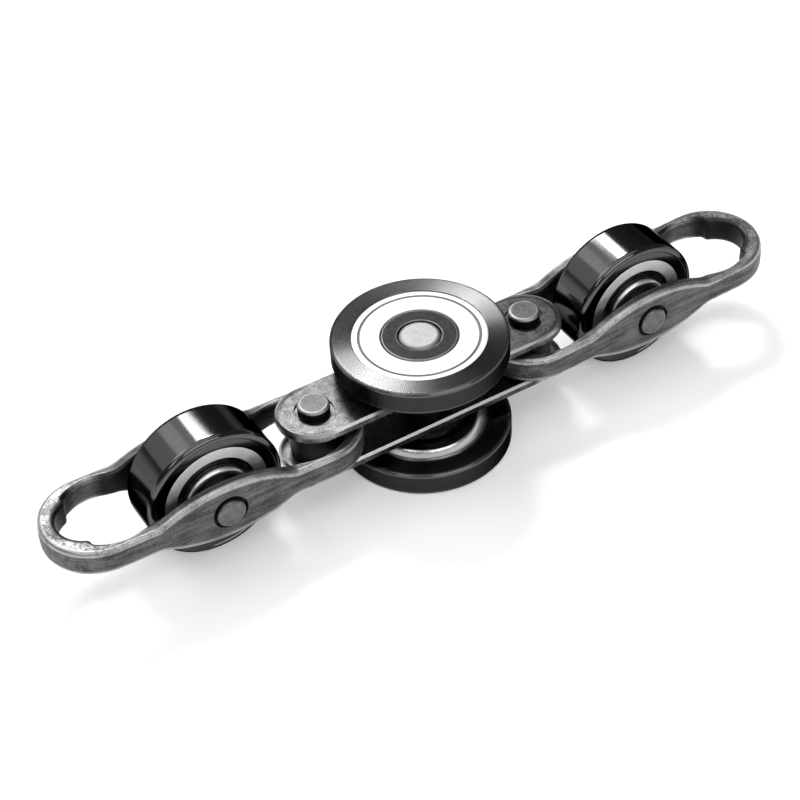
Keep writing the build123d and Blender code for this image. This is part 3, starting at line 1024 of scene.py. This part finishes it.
    def tread(self) -> bpy.types.Object:
        """Makes the running surface. Its side faces lie a little deeper inside a fine bead."""
        end, r, seat = self.half_width, self.wheel_radius, self.shield_seat
        step = self.tread_step
        section = [
            (self.race_outer, seat - end, 0.08), (self.shield_radius, seat - end, 0.08),
            (self.shield_radius, step - end, 0.15), (self.bead_radius - step, step - end, 0.1),
            (self.bead_radius, -end, 0.12), (r, -end, self.edge), (r, end, self.edge),
            (self.bead_radius, end, 0.12), (self.bead_radius - step, end - step, 0.1),
            (self.shield_radius, end - step, 0.15), (self.shield_radius, end - seat, 0.08),
            (self.race_outer, end - seat, 0.08),
        ]
        return turned(f"{self.side.label}_guide_running_ring", self.wheel_place(), rounded_profile(section))

    def shield(self, place_name: str, way: float) -> bpy.types.Object:
        """Makes one of the wheel's pale rings, slightly domed edges inside and out."""
        top, low = self.half_width - self.shield_recess, self.half_width - self.shield_seat
        section = [
            (self.shield_bore, low, BREAK), (self.shield_radius, low, BREAK),
            (self.shield_radius, top, 0.25), (self.shield_bore, top, 0.35),
        ]
        name = f"{self.side.label}_guide_{place_name}_pale_ring"
        return turned(name, self.wheel_place(way), rounded_profile(section))

    def hub(self) -> bpy.types.Object:
        """Makes the spool, its ends rounded."""
        end, race = self.hub_end, self.half_width - self.shield_seat
        section = [
            (self.axle_radius, -end, 0.1), (self.hub_radius, -end, self.hub_round),
            (self.hub_radius, -race, BREAK), (self.race_inner, -race, BREAK),
            (self.race_inner, race, BREAK), (self.hub_radius, race, BREAK),
            (self.hub_radius, end, self.hub_round), (self.axle_radius, end, 0.1),
        ]
        return turned(f"{self.side.label}_guide_spool", self.wheel_place(), rounded_profile(section))

    def rivet(self) -> bpy.types.Object:
        """Makes the guide axle, its peened heads full domes.

        A dome is a superellipse: the sine of an angle, raised to a power under one, times the head's radius,
        and its cosine, raised likewise, times the head's height.
        """
        seat, power = self.link_half_width - self.rivet_sink, self.rivet_fullness
        rim, rise = self.link_half_width + self.rivet_rim, self.rivet_height - self.rivet_rim
        turn = np.linspace(0, np.pi / 2, 14)
        across = self.rivet_radius * np.sin(turn) ** power
        dome = np.stack([across, rim + rise * np.maximum(np.cos(turn), 0) ** power], axis=-1)
        shank = np.array([
            (self.rivet_radius, rim - 0.15), (self.rivet_radius, seat), (self.axle_radius, seat),
            (self.axle_radius, -seat), (self.rivet_radius, -seat), (self.rivet_radius, 0.15 - rim),
        ])
        points = np.concatenate([dome, shank, dome[::-1] * [1, -1]])
        wear_and_highlight = np.concatenate([np.zeros(11), np.ones(3) * 0.5, np.zeros(6), np.ones(3) * 0.5, np.zeros(11)])
        return turned(f"{self.side.label}_guide_rivet", self.wheel_place(), Profile(points, wear_and_highlight, False))

    def build(self, shop: Workshop) -> None:
        """Builds and dresses the link's pieces."""
        name = self.side.label
        shop.dress(self.forging(), f"{name}_forged_link", "forged_steel")
        shop.dress(self.tread(), f"{name}_guide_tread", "black_tread")
        shop.dress(self.hub(), f"{name}_guide_hub", "bright_hub")
        shop.dress(self.rivet(), f"{name}_guide_axle", "rivet_steel")
        for place_name, way in (("front", -1.0), ("back", 1.0)):
            shop.dress(self.shield(place_name, way), f"{name}_guide_{place_name}_shield", "pale_shield")


# Studio


@dataclass(frozen=True)
class Lamp:
    """A rectangular softbox that looks at the chain from one direction."""

    name: str
    azimuth: float
    elevation: float
    distance: float
    width: float
    height: float
    radiance: float

    def build(self) -> None:
        """Places the lamp. Its power is its radiance times its area times pi."""
        light = bpy.data.lights.new(self.name, "AREA")
        light.shape = "RECTANGLE"
        light.size, light.size_y = self.width, self.height
        light.energy = self.radiance * self.width * self.height * np.pi
        lamp = bpy.data.objects.new(self.name, light)
        around, up = np.radians(self.azimuth), np.radians(self.elevation)
        way = Vector((np.cos(up) * np.cos(around), np.cos(up) * np.sin(around), np.sin(up)))
        lamp.location = way * self.distance
        lamp.rotation_euler = way.to_track_quat("Z", "Y").to_euler()
        lamp.visible_camera = False
        bpy.context.scene.collection.objects.link(lamp)


@dataclass(frozen=True)
class Studio:
    """Pale floor, even world light, softboxes and the camera."""

    world_level: float = 0.12
    floor_colour: Grey = (0.97, 0.97, 0.97)
    floor_lift: Grey = (0.24, 0.24, 0.24)
    floor_size: float = 12.0
    floor_fade: tuple[float, float] = (0.3, 0.8)
    horizon: tuple[float, float] = (0.06, 0.3)
    camera_azimuth: float = -28.67
    camera_elevation: float = 42.33
    camera_roll: float = 3.9
    focal_pixels: float = 2011.76
    frame_pixels: float = 800.0
    shift: tuple[float, float, float] = (6.96, 4.71, -626.98)
    lamps: tuple[Lamp, ...] = (
        Lamp("overhead", -118.0, 84.0, 1.3, 1.4, 1.4, 1.05),
        Lamp("key", 75.0, 47.5, 1.2, 0.42, 0.17, 12.0),
        Lamp("streak", 71.0, 52.0, 1.2, 0.2, 0.12, 42.0),
        Lamp("left_back", 101.0, 47.0, 1.4, 0.85, 0.5, 1.2),
        Lamp("left_far", 126.0, 35.0, 1.4, 0.8, 0.8, 0.8),
        Lamp("left_top", 142.0, 54.0, 1.3, 0.6, 0.5, 2.2),
        Lamp("left", -150.0, 42.0, 1.3, 0.3, 0.3, 4.0),
        Lamp("front", -86.0, 38.0, 1.3, 1.0, 0.36, 4.0),
    )

    def floor(self) -> None:
        """Lays the pale floor."""
        half = self.floor_size / 2
        mesh = bpy.data.meshes.new("floor")
        corners = [(-half, -half, -0.0001), (half, -half, -0.0001), (half, half, -0.0001), (-half, half, -0.0001)]
        mesh.from_pydata(corners, [], [(0, 1, 2, 3)])
        g = Graph("floor")
        x, y, _ = g.split(g.coordinates(Reads.OBJECT))
        away = length(x, y).step(*self.floor_fade)
        lift = g.blend(away, self.floor_lift, (1.0, 1.0, 1.0))
        g.set(Base_Color=g.blend(away, self.floor_colour, (0.0, 0.0, 0.0)), Roughness=0.9, Specular_IOR_Level=0.0)
        g.set(Emission_Color=g.blend(shown_rays(g), (0.0, 0.0, 0.0), lift), Emission_Strength=1.0)
        mesh.materials.append(g.material)
        floor = bpy.data.objects.new("floor", mesh)
        bpy.context.scene.collection.objects.link(floor)

    def world(self) -> None:
        """Lights the surroundings evenly. Near the horizon they show as white as the floor."""
        world = bpy.data.worlds.new("studio")
        world.use_nodes = True
        g = Graph.of_world(world)
        _, _, height = g.split(g.node("ShaderNodeTexCoord").outputs["Generated"])
        white = (1 - height.step(*self.horizon)) * shown_rays(g)
        level = (self.world_level,) * 3
        g.feed(g.shader.inputs["Color"], g.blend(white, level, (1.0, 1.0, 1.0)))
        bpy.context.scene.world = world

    def camera(self) -> None:
        """Sets the camera at the photograph's viewing angle."""
        around, up, roll = (np.radians(a) for a in (self.camera_azimuth, self.camera_elevation, self.camera_roll))
        back = np.array([np.sin(around) * np.cos(up), -np.cos(around) * np.cos(up), np.sin(up)])
        right = np.array([np.cos(around), np.sin(around), 0.0])
        turn = np.array([[np.cos(roll), -np.sin(roll), 0], [np.sin(roll), np.cos(roll), 0], [0, 0, 1]])
        axes = turn @ np.stack([right, np.cross(back, right), back])
        spot = (-axes.T @ np.array(self.shift) + [0, 0, CENTRE_HEIGHT]) * MM
        data = bpy.data.cameras.new("camera")
        data.sensor_width = 36.0
        data.lens = self.focal_pixels / self.frame_pixels * data.sensor_width
        data.clip_start, data.clip_end = 0.01, 100.0
        camera = bpy.data.objects.new("camera", data)
        matrix = np.eye(4)
        matrix[:3, :3], matrix[:3, 3] = axes.T, spot
        camera.matrix_world = Matrix(matrix.tolist())
        bpy.context.scene.collection.objects.link(camera)
        bpy.context.scene.camera = camera

    def build(self) -> None:
        """Builds the studio."""
        self.floor()
        self.world()
        self.camera()
        for lamp in self.lamps:
            lamp.build()
        bpy.context.scene.view_settings.view_transform = "Standard"


def main() -> None:
    """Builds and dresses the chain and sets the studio."""
    logging.basicConfig(level=logging.INFO, format="%(name)s: %(message)s")
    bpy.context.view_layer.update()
    Studio().build()
    shop = Workshop(Finishes().build())
    shop.finish_nodes()
    LoadLink().build(shop)
    for level in Level:
        LoadWheel(level).build(shop)
    for side in Side:
        GuideLink(side).build(shop)


if __name__ == "__main__":
    main()
